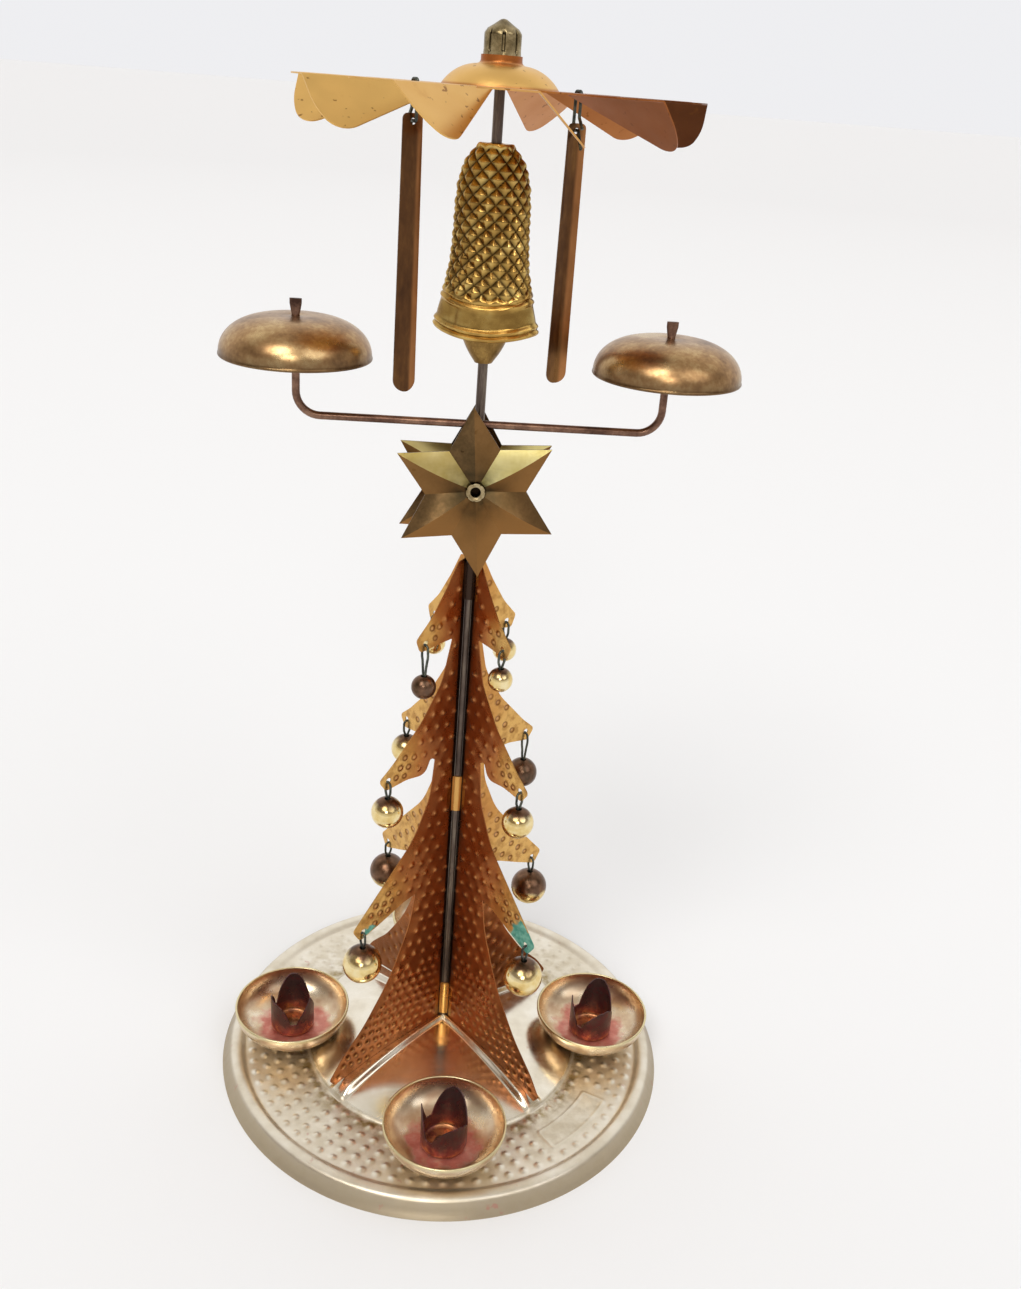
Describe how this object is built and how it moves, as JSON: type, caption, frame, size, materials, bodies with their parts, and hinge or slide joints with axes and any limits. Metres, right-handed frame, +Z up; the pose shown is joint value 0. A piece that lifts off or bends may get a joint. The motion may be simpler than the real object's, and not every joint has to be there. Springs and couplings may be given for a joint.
{
  "type": "angel chime carousel",
  "caption": "Table-top candle chime: a pressed round base with candle dishes, a folded metal tree with hanging balls, a star, a bell, gongs on a wire arm and a heat-driven fan with strikers.",
  "frame": {"origin": "centre of the base at the plane it stands on", "axes": "+Z up along the spindle; -Y to the front; the candle dishes lie on the X and Y axes and the gongs at -X and +X"},
  "size_m": [0.138, 0.138, 0.2967],
  "materials": {
    "tinplate": "satin pressed tinplate, slightly champagne",
    "steel": "plain zinc-plated steel",
    "dish_brass": "satin brown-gold lacquered brass",
    "socket_copper": "dark oxidised copper-coloured brass",
    "rivet_brass": "satin brass",
    "rod_steel": "dark drawn steel",
    "tree_copper": "dimpled copper-coloured sheet",
    "star_brass": "antique brass",
    "arm_wire": "bronzed wire",
    "gong_brass": "aged brushed brass",
    "bell_brass": "antique brass with a pressed diamond pattern",
    "fan_brass": "bright lacquered brass",
    "cap_nickel": "grey brass with dark slits",
    "striker_copper": "copper-coloured strip",
    "ball_gold": "polished gilt with tarnished tops",
    "wire_steel": "dark iron wire"
  },
  "bodies": {
    "stand": {"base_plate": "tinplate", "base_nut": "steel", "candle_dish_front": "dish_brass", "candle_dish_right": "dish_brass", "candle_dish_back": "dish_brass", "candle_dish_left": "dish_brass", "candle_socket_front": "socket_copper", "candle_socket_right": "socket_copper", "candle_socket_back": "socket_copper", "candle_socket_left": "socket_copper", "dish_rivets": "rivet_brass", "center_rod": "rod_steel", "tree_front": "tree_copper", "tree_back": "tree_copper", "star_front": "star_brass", "star_back": "star_brass", "star_rivet": "rivet_brass", "gong_arm": "arm_wire", "bell_front": "bell_brass", "bell_back": "bell_brass", "bell_clapper": "bell_brass"},
    "rotor": {"fan_wheel": "fan_brass", "pivot_cap": "cap_nickel"},
    "striker_left": {"striker_left": "striker_copper", "striker_wire_left": "wire_steel"},
    "striker_right": {"striker_right": "striker_copper", "striker_wire_right": "wire_steel"},
    "gong_left": {"gong_left": "gong_brass"},
    "gong_right": {"gong_right": "gong_brass"},
    "bauble_front_left_top": {"ball_front_left_top": "ball_gold", "hook_front_left_top": "wire_steel"},
    "bauble_front_left_middle": {"ball_front_left_middle": "ball_gold", "hook_front_left_middle": "wire_steel"},
    "bauble_front_left_bottom": {"ball_front_left_bottom": "ball_gold", "hook_front_left_bottom": "wire_steel"},
    "bauble_front_right_top": {"ball_front_right_top": "ball_gold", "hook_front_right_top": "wire_steel"},
    "bauble_front_right_middle": {"ball_front_right_middle": "ball_gold", "hook_front_right_middle": "wire_steel"},
    "bauble_front_right_bottom": {"ball_front_right_bottom": "ball_gold", "hook_front_right_bottom": "wire_steel"},
    "bauble_back_right_top": {"ball_back_right_top": "ball_gold", "hook_back_right_top": "wire_steel"},
    "bauble_back_right_middle": {"ball_back_right_middle": "ball_gold", "hook_back_right_middle": "wire_steel"},
    "bauble_back_right_bottom": {"ball_back_right_bottom": "ball_gold", "hook_back_right_bottom": "wire_steel"},
    "bauble_back_left_top": {"ball_back_left_top": "ball_gold", "hook_back_left_top": "wire_steel"},
    "bauble_back_left_middle": {"ball_back_left_middle": "ball_gold", "hook_back_left_middle": "wire_steel"},
    "bauble_back_left_bottom": {"ball_back_left_bottom": "ball_gold", "hook_back_left_bottom": "wire_steel"}
  },
  "joints": [
    {"name": "fan_spin", "type": "hinge", "parent": "stand", "child": "rotor", "pos_m": [0, 0, 0.2923], "axis": [0, 0, 1], "continuous": true},
    {"name": "striker_left_swing", "type": "hinge", "parent": "rotor", "child": "striker_left", "pos_m": [-0.01924, -0.00959, 0.28307], "axis": [0.4462, -0.8949, 0], "range_deg": [-2.3, 4.5]},
    {"name": "striker_right_swing", "type": "hinge", "parent": "rotor", "child": "striker_right", "pos_m": [0.01924, 0.00959, 0.28307], "axis": [-0.4462, 0.8949, 0], "range_deg": [-2.3, 4.5]},
    {"name": "gong_left_turn", "type": "hinge", "parent": "stand", "child": "gong_left", "pos_m": [-0.0462, -0.00227, 0.229], "axis": [0, 0, 1], "continuous": true},
    {"name": "gong_right_turn", "type": "hinge", "parent": "stand", "child": "gong_right", "pos_m": [0.0462, -0.00227, 0.229], "axis": [0, 0, 1], "continuous": true},
    {"name": "swing_front_left_top", "type": "hinge", "parent": "stand", "child": "bauble_front_left_top", "pos_m": [-0.01119, -0.00906, 0.14517], "axis": [0.6293, -0.7771, 0], "range_deg": [-20, 9]},
    {"name": "swing_front_left_middle", "type": "hinge", "parent": "stand", "child": "bauble_front_left_middle", "pos_m": [-0.01974, -0.01598, 0.10637], "axis": [0.6293, -0.7771, 0], "range_deg": [-20, 20]},
    {"name": "swing_front_left_bottom", "type": "hinge", "parent": "stand", "child": "bauble_front_left_bottom", "pos_m": [-0.02541, -0.02058, 0.05857], "axis": [0.6293, -0.7771, 0], "range_deg": [-20, 20]},
    {"name": "swing_front_right_top", "type": "hinge", "parent": "stand", "child": "bauble_front_right_top", "pos_m": [0.00935, -0.01095, 0.14517], "axis": [0.7604, 0.6494, 0], "range_deg": [-20, 20]},
    {"name": "swing_front_right_middle", "type": "hinge", "parent": "stand", "child": "bauble_front_right_middle", "pos_m": [0.0165, -0.01931, 0.10637], "axis": [0.7604, 0.6494, 0], "range_deg": [-20, 20]},
    {"name": "swing_front_right_bottom", "type": "hinge", "parent": "stand", "child": "bauble_front_right_bottom", "pos_m": [0.02124, -0.02487, 0.05857], "axis": [0.7604, 0.6494, 0], "range_deg": [-20, 20]},
    {"name": "swing_back_right_top", "type": "hinge", "parent": "stand", "child": "bauble_back_right_top", "pos_m": [0.0115, 0.00867, 0.14517], "axis": [-0.6018, 0.7986, 0], "range_deg": [-20, 20]},
    {"name": "swing_back_right_middle", "type": "hinge", "parent": "stand", "child": "bauble_back_right_middle", "pos_m": [0.02029, 0.01529, 0.10637], "axis": [-0.6018, 0.7986, 0], "range_deg": [-20, 20]},
    {"name": "swing_back_right_bottom", "type": "hinge", "parent": "stand", "child": "bauble_back_right_bottom", "pos_m": [0.02611, 0.01968, 0.05857], "axis": [-0.6018, 0.7986, 0], "range_deg": [-20, 20]},
    {"name": "swing_back_left_top", "type": "hinge", "parent": "stand", "child": "bauble_back_left_top", "pos_m": [-0.00867, 0.0115, 0.14517], "axis": [-0.7986, -0.6018, 0], "range_deg": [-20, 20]},
    {"name": "swing_back_left_middle", "type": "hinge", "parent": "stand", "child": "bauble_back_left_middle", "pos_m": [-0.01529, 0.02029, 0.10637], "axis": [-0.7986, -0.6018, 0], "range_deg": [-20, 20]},
    {"name": "swing_back_left_bottom", "type": "hinge", "parent": "stand", "child": "bauble_back_left_bottom", "pos_m": [-0.01968, 0.02611, 0.05857], "axis": [-0.7986, -0.6018, 0], "range_deg": [-20, 20]}
  ]
}
